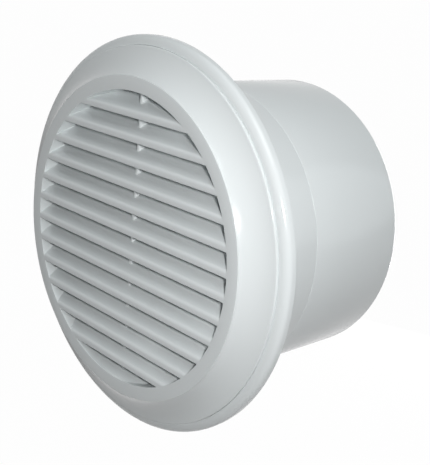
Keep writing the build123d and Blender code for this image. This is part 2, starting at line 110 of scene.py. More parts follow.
class NodeSet:
    def __init__(self, tree):
        self.tree = tree

    def add(self, kind, settings, sockets, output=0):
        node = self.tree.nodes.new(kind)
        for key, value in settings.items():
            if key == "stops":
                self.setStops(node.color_ramp, value)
            else:
                setattr(node, key, value)
        for key, value in sockets.items():
            self.feed(node.inputs[key], value)
        return Signal(self, node.outputs[output])

    def setStops(self, ramp, stops):
        while len(ramp.elements) < len(stops):
            ramp.elements.new(1)
        for element, (position, level) in zip(ramp.elements, stops):
            element.position = position
            element.color = (level, level, level, 1)

    def feed(self, socket, value):
        if isinstance(value, Signal):
            self.tree.links.new(value.socket, socket)
        else:
            socket.default_value = value

    def whiteRays(self):  # 1 where the studio is seen, also in a gloss or through a clear piece
        rays = self.add("ShaderNodeLightPath", {}, {}, "Is Camera Ray")
        seen = rays.maths("MAXIMUM", rays, rays.other("Is Glossy Ray"))
        return seen.maths("MAXIMUM", seen, rays.other("Is Transmission Ray"))


class Finish(NodeSet):
    def __init__(self, name):
        self.material = bpy.data.materials.new(name)
        self.material.use_nodes = True
        super().__init__(self.material.node_tree)
        self.surface = self.tree.nodes["Principled BSDF"]
        self.place = self.add("ShaderNodeTexCoord", {}, {}, "Object")

    def noise(self, scale, detail=2, roughness=0.5, stretch=(1, 1, 1)):
        place = self.place
        if stretch != (1, 1, 1):
            place = self.add("ShaderNodeMapping", {}, {"Vector": self.place, "Scale": stretch})
        sockets = {"Vector": place, "Scale": scale, "Detail": detail, "Roughness": roughness}
        return self.add("ShaderNodeTexNoise", {}, sockets, "Fac")

    def flow(self, scale):  # slow marks, as a mould leaves them
        return self.noise(scale, 3, 0.55)

    def grain(self, scale):
        return self.noise(scale, 2, 0.6)

    def cloud(self, scale):
        return self.noise(scale, 4, 0.6)

    def bands(self, look):
        return self.add(
            "ShaderNodeTexWave",
            {"bands_direction": look["direction"], "wave_profile": look["profile"]},
            {
                "Vector": self.place,
                "Scale": look["scale"],
                "Distortion": look["distortion"],
                "Detail": 1.0,
            },
            "Fac",
        )

    def ramp(self, value, stops):
        return self.add("ShaderNodeValToRGB", {"stops": stops}, {"Fac": value})

    def blendColours(self, factor, first, second):  # 6, 7 and 2 are the colour sockets of a Mix
        sockets = {0: factor, 6: first, 7: second}
        return self.add("ShaderNodeMix", {"data_type": "RGBA"}, sockets, 2)

    def bump(self, height, strength, distance):
        sockets = {"Height": height, "Strength": strength, "Distance": distance}
        self.feed(self.surface.inputs["Normal"], self.add("ShaderNodeBump", {}, sockets))

    def put(self, **values):
        for key, value in values.items():
            self.feed(self.surface.inputs[key.replace("_", " ")], value)


def grey(level, tint=(1, 1, 1)):
    return (level * tint[0], level * tint[1], level * tint[2], 1)


# Finishes

casingLook = {
    "colour": (0.80, 0.83, 0.835, 1),
    "shade": (0.765, 0.80, 0.805, 1),
    "roughness": 0.12,
    "flowScale": 18,
    "flowSpread": 0.10,
    "grainScale": 2600,
    "grainSpread": 0.06,
    "flowHeight": 0.6,
    "bump": 0.12,
    "depth": 0.00004,
}


def casingPlastic():
    look = casingLook
    finish = Finish("casingPlastic")
    flow = finish.flow(look["flowScale"])
    grain = finish.grain(look["grainScale"])
    uneven = (flow - 0.5) * look["flowSpread"] + (grain - 0.5) * look["grainSpread"]
    finish.put(
        Base_Color=finish.blendColours(flow, look["colour"], look["shade"]),
        Roughness=look["roughness"] + uneven,
        IOR=1.5,
    )
    finish.bump(grain + look["flowHeight"] * flow, look["bump"], look["depth"])
    return finish.material


plasticLook = {
    "flowScale": 22,
    "flowSpread": 0.12,
    "grainScale": 2200,
    "flowHeight": 0.5,
    "bump": 0.2,
    "depth": 0.00005,
}


def plainPlastic(name, colour, shade, roughness):
    look = plasticLook
    finish = Finish(name)
    flow = finish.flow(look["flowScale"])
    grain = finish.grain(look["grainScale"])
    finish.put(
        Base_Color=finish.blendColours(flow, colour, shade),
        Roughness=roughness + (flow - 0.5) * look["flowSpread"],
        IOR=1.5,
    )
    finish.bump(grain + look["flowHeight"] * flow, look["bump"], look["depth"])
    return finish.material


metalLook = {
    "cloudScale": 60,
    "cloudSpread": 0.12,
    "markDetail": 3,
    "markRoughness": 0.65,
    "markSpread": 0.25,
    "bump": 0.3,
}


def bareMetal(name, colour, shade, roughness, stretch=(1, 1, 1), scale=500, depth=0.00004):
    look = metalLook
    finish = Finish(name)
    cloud = finish.cloud(look["cloudScale"])
    marks = finish.noise(scale, look["markDetail"], look["markRoughness"], stretch)
    uneven = (marks - 0.5) * look["markSpread"] + (cloud - 0.5) * look["cloudSpread"]
    finish.put(
        Base_Color=finish.blendColours(cloud, colour, shade),
        Roughness=roughness + uneven,
        Metallic=1.0,
    )
    finish.bump(marks, look["bump"], depth)
    return finish.material


sheetLook = {
    "colour": grey(0.16),
    "rust": (0.15, 0.115, 0.09, 1),
    "rustScale": 90,
    "rustStops": ((0.45, 0), (0.72, 1)),
    "roughness": 0.38,
    "rustSpread": 0.2,
    "direction": "Y",
    "profile": "SAW",
    "scale": 320,
    "distortion": 0.2,
    "bump": 0.5,
    "depth": 0.0001,
}


def laminations():
    look = sheetLook
    finish = Finish("laminationSteel")
    rust = finish.cloud(look["rustScale"])
    rusty = finish.ramp(rust, look["rustStops"])
    finish.put(
        Base_Color=finish.blendColours(rusty, look["colour"], look["rust"]),
        Roughness=look["roughness"] + look["rustSpread"] * rust,
        Metallic=1.0,
    )
    finish.bump(finish.bands(look), look["bump"], look["depth"])
    return finish.material


wireLook = {
    # painted shade: the wire's copper darkened in the grooves between its turns
    "paintedGrooveShade": (0.20, 0.055, 0.018, 1),
    "crown": (0.62, 0.22, 0.07, 1),
    "roughness": 0.28,
    "spread": 0.12,
    "spreadScale": 300,
    "metallic": 0.8,
    "direction": "DIAGONAL",
    "profile": "SIN",
    "scale": 620,
    "distortion": 0.8,
    "bump": 0.7,
    "depth": 0.00012,
}


def enamelWire():
    look = wireLook
    finish = Finish("windingEnamel")
    turns = finish.bands(look)
    finish.put(
        # the colour follows the turns: painted shade in the grooves, the wire's own copper on
        # the crowns
        Base_Color=finish.blendColours(turns, look["paintedGrooveShade"], look["crown"]),
        Roughness=look["roughness"] + look["spread"] * finish.noise(look["spreadScale"]),
        Metallic=look["metallic"],
    )
    finish.bump(turns, look["bump"], look["depth"])
    return finish.material


rubberLook = {
    "colour": (0.022, 0.022, 0.024, 1),
    "bloom": (0.055, 0.055, 0.058, 1),
    "bloomScale": 140,
    "roughness": 0.55,
    "bloomSpread": 0.25,
    "grainScale": 1800,
    "bump": 0.25,
    "depth": 0.00006,
}


def rubber():
    look = rubberLook
    finish = Finish("grommetRubber")
    bloom = finish.cloud(look["bloomScale"])
    finish.put(
        Base_Color=finish.blendColours(bloom, look["colour"], look["bloom"]),
        Roughness=look["roughness"] + look["bloomSpread"] * bloom,
        IOR=1.5,
    )
    finish.bump(finish.grain(look["grainScale"]), look["bump"], look["depth"])
    return finish.material


whitePlastic = casingPlastic()
carrierTint = (0.99, 1, 1.005)
wheelTint = (0.99, 1, 1.01)
nodeFinishes = {
    "motor_carrier": plainPlastic(
        "carrierPlastic", grey(0.62, carrierTint), grey(0.57, carrierTint), 0.42
    ),
    "impeller": plainPlastic(
        "impellerPlastic", grey(0.66, wheelTint), grey(0.60, wheelTint), 0.36
    ),
    "stator_core": laminations(),
    "shading_rings": bareMetal(
        "shadingCopper", (0.72, 0.32, 0.18, 1), (0.55, 0.23, 0.13, 1), 0.3
    ),
    "coil_bobbins": plainPlastic(
        "bobbinPlastic", (0.50, 0.44, 0.34, 1), (0.44, 0.38, 0.29, 1), 0.5
    ),
    "coil_windings": enamelWire(),
    "front_bracket": bareMetal(
        "bracketAlloy", grey(0.56), grey(0.44), 0.52, scale=900, depth=0.00008
    ),
    "tie_bolts": bareMetal(
        "fastenerSteel", grey(0.55, (1, 0.97, 0.90)), grey(0.44, (1, 0.96, 0.88)), 0.33
    ),
    "front_bush": bareMetal(
        "bearingBronze", (0.46, 0.29, 0.14, 1), (0.36, 0.22, 0.10, 1), 0.46, scale=1600
    ),
    "shaft": bareMetal(
        "shaftSteel", grey(0.62), grey(0.54), 0.18, stretch=(1, 12, 1), scale=400, depth=0.00001
    ),
    "rotor": bareMetal("rotorSteel", grey(0.34), grey(0.26), 0.40, stretch=(1, 10, 1)),
    "terminal_block": plainPlastic(
        "terminalPlastic", (0.60, 0.60, 0.56, 1), (0.54, 0.54, 0.50, 1), 0.4
    ),
    "terminal_tubes": bareMetal(
        "terminalBrass", (0.70, 0.50, 0.22, 1), (0.58, 0.40, 0.17, 1), 0.32
    ),
    "motor_leads": plainPlastic(
        "leadInsulation", (0.03, 0.09, 0.34, 1), (0.025, 0.07, 0.28, 1), 0.45
    ),
    "cable_grommet": rubber(),
}
sharedFinishes = {
    "louvred_cover": whitePlastic,
    "base_flange": whitePlastic,
    "duct_tube": whitePlastic,
    "motor_cap": nodeFinishes["motor_carrier"],
    "box_cover": nodeFinishes["motor_carrier"],
    "rear_bracket": nodeFinishes["front_bracket"],
    "tie_nuts": nodeFinishes["tie_bolts"],
    "impeller_nut": nodeFinishes["tie_bolts"],
    "terminal_screws": nodeFinishes["tie_bolts"],
    "rear_bush": nodeFinishes["front_bush"],
}
for name, finish in {**nodeFinishes, **sharedFinishes}.items():
    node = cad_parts[name]
    node.data.materials.clear()
    node.data.materials.append(finish)
print("finishes made")

# Modelling helpers. Sizes are in millimetres here, and depth runs along the duct, from the wall.

weldDistance = 0.004
sharpAngle = 40  # between two faces, from which their edge is softened
facing = 0.9  # how squarely a face points along an axis to be picked
near = 0.1  # how near to a place an edge lies to be picked
smoothAngle = 30  # between two faces, up to which they are shaded as one
cornerSteps = 5  # round each rounded corner of an outline
past = 1.0  # how far a cutter passes what it cuts


def deselectAll():
    if bpy.context.object and bpy.context.object.mode != "OBJECT":
        bpy.ops.object.mode_set(mode="OBJECT")
    bpy.ops.object.select_all(action="DESELECT")


def activate(piece):
    deselectAll()
    piece.select_set(True)
    bpy.context.view_layer.objects.active = piece


def applyPlace(piece):
    activate(piece)
    bpy.ops.object.transform_apply(location=True, rotation=True, scale=True)


def rounded(corners):  # each corner is (radius, depth, rounding)
    points = []
    for index, (radius, depth, rounding) in enumerate(corners):
        corner = Vector((radius, depth))
        if not rounding:
            points.append(corner)
            continue
        before = (Vector(corners[index - 1][:2]) - corner).normalized()
        after = (Vector(corners[(index + 1) % len(corners)][:2]) - corner).normalized()
        half = before.angle(after) / 2
        centre = corner + (before + after).normalized() * rounding / math.sin(half)
        start = corner + before * rounding / math.tan(half) - centre
        end = corner + after * rounding / math.tan(half) - centre
        for step in range(cornerSteps + 1):
            outward = start.slerp(end, step / cornerSteps).normalized()
            points.append(centre + outward * rounding)
    return points


def turnPiece(name, outline, sides):  # turned about the duct's axis from a closed outline
    deselectAll()
    radius, depth = outline[0]
    bpy.ops.mesh.primitive_circle_add(
        vertices=sides, radius=radius * mm, location=(0, depth * mm, 0),
        rotation=(math.pi / 2, 0, 0),
    )
    piece = bpy.context.object
    piece.name = name
    applyPlace(piece)
    bpy.ops.object.mode_set(mode="EDIT")
    bpy.ops.mesh.select_all(action="SELECT")
    for nextRadius, nextDepth in outline[1:] + outline[:1]:
        bpy.ops.mesh.extrude_edges_move(
            TRANSFORM_OT_translate={"value": (0, (nextDepth - depth) * mm, 0)}
        )
        growth = nextRadius / radius
        bpy.ops.transform.resize(value=(growth, 1, growth), center_override=(0, 0, 0))
        radius, depth = nextRadius, nextDepth
    closeMesh()
    return piece


def closeMesh():  # welds what meets, and turns the faces outwards
    bpy.ops.mesh.select_all(action="SELECT")
    bpy.ops.mesh.remove_doubles(threshold=weldDistance * mm)
    bpy.ops.mesh.normals_make_consistent(inside=False)
    bpy.ops.object.mode_set(mode="OBJECT")


def addBar(name, low, high):
    deselectAll()
    size = [(b - a) * mm for a, b in zip(low, high)]
    centre = [(a + b) / 2 * mm for a, b in zip(low, high)]
    bpy.ops.mesh.primitive_cube_add(size=1, location=centre, scale=size)
    bar = bpy.context.object
    bar.name = name
    applyPlace(bar)
    return bar


def addRod(radius, front, rear, place=(0, 0), sides=48, across=False):
    deselectAll()
    middle = (front + rear) / 2  # place is (x, z), or (y, z) for a rod across the duct
    location = (middle, place[0], place[1]) if across else (place[0], middle, place[1])
    turn = (0, math.pi / 2, 0) if across else (math.pi / 2, 0, 0)
    bpy.ops.mesh.primitive_cylinder_add(
        vertices=sides, radius=radius * mm, depth=abs(rear - front) * mm,
        location=[value * mm for value in location], rotation=turn,
    )
    rod = bpy.context.object
    applyPlace(rod)
    return rod


def selectEdges(piece, wanted):
    activate(piece)
    bpy.ops.object.mode_set(mode="EDIT")
    bpy.ops.mesh.select_mode(type="EDGE")
    bpy.ops.mesh.select_all(action="DESELECT")
    mesh = bmesh.from_edit_mesh(piece.data)
    for edge in mesh.edges:
        ends = [vert.co / mm for vert in edge.verts]
        if wanted(*ends):
            edge.select_set(True)
    bmesh.update_edit_mesh(piece.data)


def selectFaces(piece, wanted):
    activate(piece)
    bpy.ops.object.mode_set(mode="EDIT")
    bpy.ops.mesh.select_mode(type="FACE")
    bpy.ops.mesh.select_all(action="DESELECT")
    mesh = bmesh.from_edit_mesh(piece.data)
    for face in mesh.faces:
        face.select_set(wanted(face.normal))
    bmesh.update_edit_mesh(piece.data)


def bevelEdges(piece, wanted, width, segments=4):
    selectEdges(piece, wanted)
    bpy.ops.mesh.bevel(offset=width * mm, segments=segments, affect="EDGES")
    bpy.ops.object.mode_set(mode="OBJECT")


def applyModifier(piece, kind, **settings):
    activate(piece)
    modifier = piece.modifiers.new(kind.lower(), kind)
    for key, value in settings.items():
        setattr(modifier, key, value)
    bpy.ops.object.modifier_apply(modifier=modifier.name)


def combine(piece, other, operation):
    applyModifier(piece, "BOOLEAN", object=other, operation=operation, solver="EXACT")
    bpy.data.objects.remove(other)


def softenEdges(piece, width, segments=2):
    applyModifier(
        piece, "BEVEL", width=width * mm, segments=segments,
        limit_method="ANGLE", angle_limit=math.radians(sharpAngle),
    )
    return piece


def softBar(name, low, high, rounding):
    return softenEdges(addBar(name, low, high), rounding, 3)


def copyOf(piece, move=(0, 0, 0), turn=0.0):  # turned from +X towards +Z, in degrees
    copy = piece.copy()
    copy.data = piece.data.copy()
    bpy.context.scene.collection.objects.link(copy)
    shift = Matrix.Translation([value * mm for value in move])
    copy.data.transform(Matrix.Rotation(math.radians(-turn), 4, "Y") @ shift)
    return copy


def roundTheDuct(piece, angles):  # a copy at each angle, in place of the piece
    copies = [copyOf(piece, turn=angle) for angle in angles]
    bpy.data.objects.remove(piece)
    return copies


def evenly(count, start=0):  # angles for a number of copies round the duct
    return [start + 360 / count * step for step in range(count)]


def joinPieces(first, others):
    activate(first)
    for other in others:
        other.select_set(True)
    bpy.ops.object.join()
    return first


def finishPiece(piece, name, body, nodes, finish):
    piece.name = name
    piece.data.name = name
    activate(piece)
    bpy.ops.object.shade_smooth_by_angle(angle=math.radians(smoothAngle))
    piece.data.materials.clear()
    piece.data.materials.append(finish)
    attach(piece, body)
    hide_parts(*nodes)


# Louvred cover: flat ring, dish and edge in one turned shell, with the louvres and their rib

coverSizes = {
    "face": -13.0,
    "openingRadius": 59.85,
    "openingWall": 1.6,
    "openingRounding": 0.15,
    "ringRadius": 65.6,
    "ringRounding": 0.2,
    "ringStep": 0.6,  # from the ring's face down to the dish
    "edgeRadius": 76.9,
    "edgeDepth": -5.6,
    "edgeRounding": 0.4,
    "wall": 1.8,
    "innerFillet": 0.5,
    "rest": -2.2,
    "restRounding": 0.15,
    "rear": -2.5,
    "rearRounding": 0.2,
    "steepest": 50.0,  # slope of the dish beside the ring
    "sides": 224,
    "bands": 22,  # across the dish
    "pitch": 9.35,
    "louvres": 13,  # with the sill
    "drop": 1.69,  # of the twelve louvres' undersides, below an even spacing about the axis
    "lip": 2.65,
    "nose": 1.5,
    "noseSteps": 8,
    "lipRounding": 0.2,
    "slope": 27.5,
    "rearThickness": 1.6,
    "rearGap": 0.05,
    "overrun": 2.0,  # of a louvre past the opening, before its ends are cut
    "endBite": 0.1,  # of a louvre's end in the opening's wall
    "rib": 1.6,
    "ribSetback": 4.8,
    "ribRounding": 0.3,
}


def dishArc():
    size = coverSizes
    startDepth = size["face"] + size["ringStep"]
    across = size["edgeRadius"] - size["ringRadius"]
    down = size["edgeDepth"] - startDepth
    steepest = math.radians(size["steepest"])
    turn = 2 * (steepest - math.atan2(down, across))
    radius = math.hypot(across, down) / 2 / math.sin(turn / 2)
    centre = Vector((
        size["ringRadius"] + radius * math.sin(steepest),
        startDepth - radius * math.cos(steepest),
    ))
    points = []
    for step in range(size["bands"] + 1):
        slope = steepest - turn * step / size["bands"]
        points.append(centre + radius * Vector((-math.sin(slope), math.cos(slope))))
    return points


def coverShell():
    size = coverSizes
    inner, edge, wall = size["openingRadius"], size["edgeRadius"], size["wall"]
    back = inner + size["openingWall"]
    arc = dishArc()
    corners = [
        (inner, size["face"], size["openingRounding"]),
        (size["ringRadius"], size["face"], size["ringRounding"]),
        (size["ringRadius"], arc[0].y, 0),
    ]
    corners += [(point.x, point.y, 0) for point in arc[1:-1]]
    corners += [
        (edge, arc[-1].y, size["edgeRounding"]),
        (edge, size["rest"], size["restRounding"]),
        (edge - wall, size["rest"], size["restRounding"]),
        (back, size["face"] + wall, size["innerFillet"]),
        (back, size["rear"], size["rearRounding"]),
        (inner, size["rear"], size["rearRounding"]),
    ]
    return turnPiece("coverShell", rounded(corners), size["sides"])


def louvreBlank():
    size = coverSizes
    depth = size["rear"] - size["face"]
    slope = math.radians(size["slope"])
    reach = size["openingRadius"] + size["overrun"]
    blank = addBar("louvre", (-reach, 0, 0), (reach, depth, size["lip"]))
    thickness = size["rearThickness"] / math.cos(slope)
    selectFaces(blank, lambda normal: normal.y > facing)
    bpy.ops.transform.resize(
        value=(1, 1, thickness / size["lip"]), center_override=(0, 0, size["lip"] * mm)
    )
    bpy.ops.transform.translate(value=(0, 0, math.tan(slope) * depth * mm))
    bpy.ops.object.mode_set(mode="OBJECT")
    setback = size["nose"] / math.tan((math.pi / 2 + slope) / 2)
    bevelEdges(
        blank,
        lambda a, b: max(a.y, b.y) < near and min(a.z, b.z) > near,
        setback,
        size["noseSteps"],
    )
    bevelEdges(
        blank,
        lambda a, b: max(a.y, b.y) < near and max(a.z, b.z) < near,
        size["lipRounding"],
        3,
    )
    return blank


def centreRib():
    size = coverSizes
    half = size["rib"] / 2
    front = size["face"] + size["ribSetback"]
    middleOfWall = size["openingRadius"] + size["openingWall"] / 2
    high = math.sqrt(middleOfWall ** 2 - size["rib"] ** 2)
    rib = addBar("rib", (-half, front, -high), (half, size["rear"] - size["rearGap"], high))
    bevelEdges(
        rib,
        lambda a, b: max(a.y, b.y) < front + near and abs(a.z - b.z) > near,
        size["ribRounding"],
    )
    return rib


def louvredCover():
    size = coverSizes
    shell = coverShell()
    blank = louvreBlank()
    top = (size["louvres"] - 2) / 2 * size["pitch"] - size["drop"]
    bars = [
        copyOf(blank, (0, size["face"], top - step * size["pitch"]))
        for step in range(size["louvres"])
    ]
    bpy.data.objects.remove(blank)
    bars = joinPieces(bars[0], bars[1:])
    opening = addRod(
        size["openingRadius"] + size["endBite"],
        size["face"] - past,
        size["rear"] - size["rearGap"],
        sides=size["sides"],
    )
    combine(bars, opening, "INTERSECT")
    cover = joinPieces(shell, [bars, centreRib()])
    finishPiece(
        cover, "louvredCover", "housing", ["louvred_cover"], whitePlastic
    )


louvredCover()
print("louvred cover made")

# Base flange: the wall plate with its rounded rim, and the sleeve up to the seam

flangeSizes = {
    "radius": 81.0,
    "rimInner": 76.95,
    "rimTop": -4.6,
    "rimStraight": -1.8,
    "rimCorner": 0.12,
    "rimFillet": 0.1,
    "rimSteps": 16,
    "plate": 2.2,
    "plateRounding": 0.2,
    "backRounding": 0.15,
    "boreRadius": 60.1,
    "ductRadius": 62.5,
    "sleeveFillet": 0.3,
    "seam": 33.4,
    "seamRounding": 0.15,
    "boreRounding": 0.2,
    "screws": 4,
    "screwStart": 45,
    "screwCircle": 69.5,
    "screwHole": 2.25,
    "sides": 224,
}


def baseFlange():
    size = flangeSizes
    rimWidth = size["radius"] - size["rimInner"]
    rimDepth = size["rimStraight"] - size["rimTop"]
    corners = [
        (size["boreRadius"], -size["plate"], size["plateRounding"]),
        (size["rimInner"], -size["plate"], size["rimFillet"]),
        (size["rimInner"], size["rimTop"], size["rimCorner"]),
    ]
    for step in range(1, size["rimSteps"] + 1):
        angle = math.pi / 2 * step / size["rimSteps"]
        corners.append((
            size["rimInner"] + rimWidth * math.sin(angle),
            size["rimStraight"] - rimDepth * math.cos(angle),
            0,
        ))
    corners += [
        (size["radius"], 0, size["backRounding"]),
        (size["ductRadius"], 0, size["sleeveFillet"]),
        (size["ductRadius"], size["seam"], size["seamRounding"]),
        (size["boreRadius"], size["seam"], size["boreRounding"]),
    ]
    flange = turnPiece("baseFlange", rounded(corners), size["sides"])
    for turn in evenly(size["screws"], size["screwStart"]):
        angle = math.radians(turn)
        place = (size["screwCircle"] * math.cos(angle), size["screwCircle"] * math.sin(angle))
        hole = addRod(size["screwHole"], -size["plate"] - past, past, place)
        combine(flange, hole, "DIFFERENCE")
    finishPiece(
        flange, "baseFlange", "housing", ["base_flange"], whitePlastic
    )


baseFlange()
print("base flange made")

# Duct tube: the rear tube, with tongues that reach into the sleeve and seats for the feet

tubeSizes = {
    "radius": 62.5,
    "bore": 60.1,
    "boreRounding": 0.2,
    "seam": 33.4,
    "seamRounding": 0.15,
    "end": 85.1,
    "endRounding": 0.5,
    "endBoreRounding": 0.6,
    "sides": 224,
    "tongueAngles": (45, 135, 225, 315),
    "tongueInner": 58.7,
    "tongueFront": 25.4,
    "tongueRear": 36.4,
    "tongueWidth": 22.0,
    "tongueGap": 0.1,
    "tongueBite": 0.5,
    "tongueStep": 0.3,  # past the seam, where the tongue runs into the tube's wall
    "tongueLead": 0.6,
    "tongueRounding": 0.4,
    "tongueEdges": 0.25,
    "seatAngles": (180, 300, 60),
    "seatInner": 51.1,
    "seatFront": 52.0,
    "seatRear": 65.4,
    "seatWall": 2.0,
    "seatBite": 1.3,
    "seatEdges": 0.3,
    "footFront": 60.0,
    "footRear": 63.0,
    "footSide": 6.2,
    "hookGap": 0.1,
    "hookThickness": 1.0,
    "hookLength": 2.4,
    "hookSide": 2.5,
    "hookBite": 0.5,
    "hookBevel": 0.7,
    "entryRadius": 5.0,
    "entryDepth": 76.0,
    "entryAngle": 210.0,
}


def tubeTongue():
    size = tubeSizes
    inner, gap, bite = size["tongueInner"], size["tongueGap"], size["tongueBite"]
    bore, step = size["bore"], size["seam"] + size["tongueStep"]
    tongue = turnPiece("tongue", rounded([
        (inner, size["tongueFront"], size["tongueRounding"]),
        (bore - gap, size["tongueFront"], size["tongueLead"]),
        (bore - gap, step, 0),
        (bore + bite, step, 0),
        (bore + bite, size["tongueRear"], 0),
        (inner, size["tongueRear"], size["tongueRounding"]),
    ]), size["sides"])
    half = size["tongueWidth"] / 2
    strip = addBar(
        "strip",
        (0, size["tongueFront"] - past, -half),
        (size["radius"], size["tongueRear"] + past, half),
    )
    combine(tongue, strip, "INTERSECT")
    return softenEdges(tongue, size["tongueEdges"])


def footSeat():
    size = tubeSizes
    inner, bore, side = size["seatInner"], size["bore"], size["footSide"]
    front, rear, wall = size["seatFront"], size["seatRear"], size["seatWall"]
    outer = side + wall
    seat = addBar("footSeat", (inner, front, -outer), (bore + size["seatBite"], rear, outer))
    room = addBar("room", (inner - past, size["footFront"], -side), (bore, rear + past, side))
    combine(seat, room, "DIFFERENCE")
    under = size["footFront"] - wall
    hollow = addBar("hollow", (inner - past, front - past, -side), (bore, under, side))
    combine(seat, hollow, "DIFFERENCE")
    softenEdges(seat, size["seatEdges"])
    tip, hookFront = bore - size["hookLength"], size["footRear"] + size["hookGap"]
    hookRear = hookFront + size["hookThickness"]
    hook = addBar(
        "footHook",
        (tip, hookFront, -size["hookSide"]),
        (bore + size["hookBite"], hookRear, size["hookSide"]),
    )
    bevelEdges(
        hook,
        lambda a, b: max(a.x, b.x) < tip + near and min(a.y, b.y) > hookRear - near,
        size["hookBevel"],
        3,
    )
    return joinPieces(seat, [hook])


def ductTube():
    size = tubeSizes
    tube = turnPiece("ductTube", rounded([
        (size["bore"], size["seam"], size["boreRounding"]),
        (size["radius"], size["seam"], size["seamRounding"]),
        (size["radius"], size["end"], size["endRounding"]),
        (size["bore"], size["end"], size["endBoreRounding"]),
    ]), size["sides"])
    entry = addRod(
        size["entryRadius"],
        size["bore"] - past,
        size["radius"] + past,
        (size["entryDepth"], 0),
        across=True,
    )
    combine(tube, roundTheDuct(entry, [size["entryAngle"]])[0], "DIFFERENCE")
    tongues = roundTheDuct(tubeTongue(), size["tongueAngles"])
    seats = roundTheDuct(footSeat(), size["seatAngles"])
    joinPieces(tube, tongues + seats)
    finishPiece(tube, "ductTube", "housing", ["duct_tube"], whitePlastic)


ductTube()
print("duct tube made")

# Cable grommet: turned on the duct's axis, and then laid in the tube's entry hole

grommetSizes = {
    "bore": 3.4,
    "radius": 4.99,
    "inner": 57.7,
    "outer": 62.3,
    "boreRounding": 0.5,
    "innerRounding": 0.7,
    "outerRounding": 0.25,
    "mouthRounding": 0.6,
    "sides": 64,
}


def cableGrommet():
    size = grommetSizes
    sleeve = turnPiece("cableGrommet", rounded([
        (size["bore"], size["inner"], size["boreRounding"]),
        (size["radius"], size["inner"], size["innerRounding"]),
        (size["radius"], size["outer"], size["outerRounding"]),
        (size["bore"], size["outer"], size["mouthRounding"]),
    ]), size["sides"])
    toEntry = Matrix.Translation((0, tubeSizes["entryDepth"] * mm, 0))
    sleeve.data.transform(toEntry @ Matrix.Rotation(-math.pi / 2, 4, "Z"))
    sleeve = roundTheDuct(sleeve, [tubeSizes["entryAngle"]])[0]
    finish = nodeFinishes["cable_grommet"]
    finishPiece(sleeve, "cableGrommet", "housing", ["cable_grommet"], finish)


cableGrommet()
print("cable grommet made")

# Fan wheel: hub with its nut recess and boss, ribs, and seven bowed blades

wheelSizes = {
    "hub": 31.0,
    "hubWall": 1.8,
    "hubRounding": 0.5,
    "front": 3.0,
    "rear": 23.0,
    "noseRounding": 3.2,
    "webFillet": 1.2,
    "recess": 6.0,
    "recessRounding": 0.5,
    "recessFillet": 0.3,
    "noseFloor": 6.6,
    "boss": 5.5,
    "bossFillet": 1.0,
    "bossRounding": 0.4,
    "bossRear": 22.2,
    "bore": 2.51,
    "boreRounding": 0.3,
    "sides": 128,
    "ribs": 4,
    "ribStart": 45,
    "ribThickness": 1.4,
    "ribBite": 0.5,
    "ribEndBite": 0.6,
    "ribSetback": 2.0,
    "ribFall": 4.0,  # from the boss to the hub's rim
    "ribRounding": 0.3,
    "blades": 7,
    "tip": 58.6,
    "wrap": 40.0,  # degrees that a blade covers
    "bladeFront": 4.5,
    "bladeRear": 21.5,
    "thickness": 1.6,
    "camber": 3.5,
    "bladeSteps": 20,
    "bladeOverrun": 4.0,  # of a blade's blank inside the hub and past the tip
    "bladeBite": 0.6,
    "bladeNose": 0.55,
    "noseReach": 1.2,
    "bladeEdges": 0.35,
    "tipSides": 256,
    "wedgeRoot": 1.8,  # half width on the axis of the wedge that a blade is cut to
    "wedgePast": 6.0,  # of the wedge beyond the tip
}


def circleThrough(first, middle, last):  # centre of the circle through three points
    a, b, c = (Vector(point) for point in (first, middle, last))
    d = 2 * (a.x * (b.y - c.y) + b.x * (c.y - a.y) + c.x * (a.y - b.y))
    x = (a.dot(a) * (b.y - c.y) + b.dot(b) * (c.y - a.y) + c.dot(c) * (a.y - b.y)) / d
    y = (a.dot(a) * (c.x - b.x) + b.dot(b) * (a.x - c.x) + c.dot(c) * (b.x - a.x)) / d
    return Vector((x, y))


def bowedSheet():  # a blade's sheet, spun about a line that crosses the duct
    size = wheelSizes
    half = size["tip"] * math.sin(math.radians(size["wrap"] / 2))
    thin = size["thickness"] / 2
    lead = Vector((half, size["bladeFront"] + thin))  # (z, y) of the leading edge
    trail = Vector((-half, size["bladeRear"] - thin))
    bow = Vector((0, (lead.y + trail.y) / 2 - size["camber"] - thin))
    centre = circleThrough(lead, bow, trail)
    start = lead - centre
    turn = start.angle_signed(trail - centre)
    inner, outer = size["hub"] - size["bladeOverrun"], size["tip"] + size["bladeOverrun"]
    deselectAll()
    bpy.ops.mesh.primitive_plane_add(size=1)
    sheet = bpy.context.object
    sheet.data.transform(
        Matrix.Translation(((inner + outer) / 2 * mm, lead.y * mm, lead.x * mm))
        @ Matrix.Rotation(math.atan2(start.x, start.y), 4, "X")
        @ Matrix.Diagonal(((outer - inner) * mm, size["thickness"] * mm, 1, 1))
    )
    bpy.ops.object.mode_set(mode="EDIT")
    bpy.ops.mesh.select_all(action="SELECT")
    bpy.ops.mesh.spin(
        steps=size["bladeSteps"], angle=-turn, axis=(1, 0, 0), dupli=False,
        center=(0, centre.y * mm, centre.x * mm),
    )
    closeMesh()
    bevelEdges(
        sheet,
        lambda a, b: abs(a.x - b.x) > near and abs(a.z) > half - size["noseReach"],
        size["bladeNose"],
        3,
    )
    return sheet


